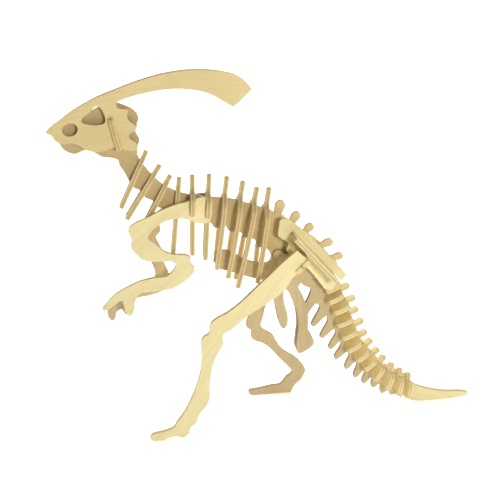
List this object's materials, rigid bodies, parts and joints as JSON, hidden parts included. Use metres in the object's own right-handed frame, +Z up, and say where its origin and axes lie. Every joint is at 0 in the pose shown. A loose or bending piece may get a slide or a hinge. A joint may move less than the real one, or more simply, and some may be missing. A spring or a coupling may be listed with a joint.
{
  "type": "wooden 3d jigsaw model",
  "caption": "Slotted plywood skeleton model of a crested, duck-billed dinosaur that stands on its feet and tail; its plates pull apart.",
  "frame": {"origin": "middle of the bounding box on the ground: midway from snout to tail tip, in the backbone's plane", "axes": "+X towards the tail tip, +Y towards the animal's right side, +Z up"},
  "size_m": [0.29, 0.054, 0.2432],
  "materials": {
    "pale_ply": "satin",
    "warm_ply": "satin",
    "tan_ply": "satin"
  },
  "bodies": {
    "spine": {"backbone": "tan_ply", "tail_plate": "warm_ply", "ilium_left": "pale_ply", "ilium_right": "pale_ply", "ischium_left": "tan_ply", "ischium_right": "tan_ply", "hip_bar": "warm_ply", "hip_shelf": "pale_ply"},
    "cheek": {"cheek_bar": "warm_ply"},
    "skull_l": {"skull_left": "warm_ply"},
    "skull_r": {"skull_right": "warm_ply"},
    "arm_l": {"arm_left": "pale_ply"},
    "arm_r": {"arm_right": "tan_ply"},
    "leg_l": {"leg_left": "pale_ply"},
    "leg_r": {"leg_right": "tan_ply"},
    "rib_01_body": {"rib_01": "warm_ply"},
    "rib_02_body": {"rib_02": "warm_ply"},
    "rib_03_body": {"rib_03": "warm_ply"},
    "rib_04_body": {"rib_04": "warm_ply"},
    "rib_05_body": {"rib_05": "warm_ply"},
    "rib_06_body": {"rib_06": "warm_ply"},
    "rib_07_body": {"rib_07": "warm_ply"},
    "rib_08_body": {"rib_08": "warm_ply"},
    "rib_09_body": {"rib_09": "warm_ply"},
    "rib_10_body": {"rib_10": "warm_ply"},
    "vertebra_01_body": {"vertebra_01": "pale_ply"},
    "vertebra_02_body": {"vertebra_02": "pale_ply"},
    "vertebra_03_body": {"vertebra_03": "pale_ply"},
    "vertebra_04_body": {"vertebra_04": "pale_ply"},
    "vertebra_05_body": {"vertebra_05": "pale_ply"},
    "vertebra_06_body": {"vertebra_06": "pale_ply"},
    "vertebra_07_body": {"vertebra_07": "pale_ply"},
    "vertebra_08_body": {"vertebra_08": "pale_ply"},
    "vertebra_09_body": {"vertebra_09": "pale_ply"},
    "vertebra_10_body": {"vertebra_10": "pale_ply"},
    "vertebra_11_body": {"vertebra_11": "pale_ply"},
    "vertebra_12_body": {"vertebra_12": "pale_ply"}
  },
  "joints": [
    {"name": "cheek_lift", "type": "slide", "parent": "spine", "child": "cheek", "axis": [-0.2079, 0, 0.9781], "range_m": [0, 0.012]},
    {"name": "skull_left_lift", "type": "slide", "parent": "cheek", "child": "skull_l", "axis": [-0.2079, 0, 0.9781], "range_m": [0, 0.012]},
    {"name": "skull_right_lift", "type": "slide", "parent": "cheek", "child": "skull_r", "axis": [-0.2079, 0, 0.9781], "range_m": [0, 0.012]},
    {"name": "arm_left_drop", "type": "slide", "parent": "spine", "child": "arm_l", "axis": [-0.0506, 0, -0.9987], "range_m": [0, 0.012]},
    {"name": "arm_right_drop", "type": "slide", "parent": "spine", "child": "arm_r", "axis": [-0.0506, 0, -0.9987], "range_m": [0, 0.012]},
    {"name": "leg_left_pull", "type": "slide", "parent": "spine", "child": "leg_l", "axis": [-0.7071, 0, -0.7071], "range_m": [0, 0.012]},
    {"name": "leg_right_pull", "type": "slide", "parent": "spine", "child": "leg_r", "axis": [-0.7071, 0, -0.7071], "range_m": [0, 0.012]},
    {"name": "rib_01_lift", "type": "slide", "parent": "spine", "child": "rib_01_body", "axis": [0.4462, 0, 0.8949], "range_m": [0, 0.008]},
    {"name": "rib_02_lift", "type": "slide", "parent": "spine", "child": "rib_02_body", "axis": [0.5519, 0, 0.8339], "range_m": [0, 0.008]},
    {"name": "rib_03_lift", "type": "slide", "parent": "spine", "child": "rib_03_body", "axis": [0.4848, 0, 0.8746], "range_m": [0, 0.006]},
    {"name": "rib_04_lift", "type": "slide", "parent": "spine", "child": "rib_04_body", "axis": [0.1149, 0, 0.9934], "range_m": [0, 0.016]},
    {"name": "rib_05_lift", "type": "slide", "parent": "spine", "child": "rib_05_body", "axis": [0.0314, 0, 0.9995], "range_m": [0, 0.016]},
    {"name": "rib_06_lift", "type": "slide", "parent": "spine", "child": "rib_06_body", "axis": [0.0698, 0, 0.9976], "range_m": [0, 0.016]},
    {"name": "rib_07_lift", "type": "slide", "parent": "spine", "child": "rib_07_body", "axis": [0.1305, 0, 0.9914], "range_m": [0, 0.016]},
    {"name": "rib_08_lift", "type": "slide", "parent": "spine", "child": "rib_08_body", "axis": [0.1702, 0, 0.9854], "range_m": [0, 0.016]},
    {"name": "rib_09_lift", "type": "slide", "parent": "spine", "child": "rib_09_body", "axis": [0.2011, 0, 0.9796], "range_m": [0, 0.016]},
    {"name": "rib_10_lift", "type": "slide", "parent": "spine", "child": "rib_10_body", "axis": [0.1305, 0, 0.9914], "range_m": [0, 0.016]},
    {"name": "vertebra_01_pull", "type": "slide", "parent": "spine", "child": "vertebra_01_body", "axis": [0.8988, 0, 0.4384], "range_m": [0, 0.012]},
    {"name": "vertebra_02_pull", "type": "slide", "parent": "spine", "child": "vertebra_02_body", "axis": [0.8988, 0, 0.4384], "range_m": [0, 0.012]},
    {"name": "vertebra_03_pull", "type": "slide", "parent": "spine", "child": "vertebra_03_body", "axis": [0.9272, 0, 0.3746], "range_m": [0, 0.012]},
    {"name": "vertebra_04_pull", "type": "slide", "parent": "spine", "child": "vertebra_04_body", "axis": [0.9135, 0, 0.4067], "range_m": [0, 0.012]},
    {"name": "vertebra_05_pull", "type": "slide", "parent": "spine", "child": "vertebra_05_body", "axis": [0.8988, 0, 0.4384], "range_m": [0, 0.012]},
    {"name": "vertebra_06_pull", "type": "slide", "parent": "spine", "child": "vertebra_06_body", "axis": [0.8572, 0, 0.515], "range_m": [0, 0.012]},
    {"name": "vertebra_07_pull", "type": "slide", "parent": "spine", "child": "vertebra_07_body", "axis": [0.766, 0, 0.6428], "range_m": [0, 0.012]},
    {"name": "vertebra_08_pull", "type": "slide", "parent": "spine", "child": "vertebra_08_body", "axis": [0.7547, 0, 0.6561], "range_m": [0, 0.012]},
    {"name": "vertebra_09_pull", "type": "slide", "parent": "spine", "child": "vertebra_09_body", "axis": [0.5736, 0, 0.8192], "range_m": [0, 0.012]},
    {"name": "vertebra_10_pull", "type": "slide", "parent": "spine", "child": "vertebra_10_body", "axis": [0.3584, 0, 0.9336], "range_m": [0, 0.012]},
    {"name": "vertebra_11_pull", "type": "slide", "parent": "spine", "child": "vertebra_11_body", "axis": [0.2079, 0, 0.9781], "range_m": [0, 0.012]},
    {"name": "vertebra_12_pull", "type": "slide", "parent": "spine", "child": "vertebra_12_body", "axis": [0.1219, 0, 0.9925], "range_m": [0, 0.012]}
  ]
}
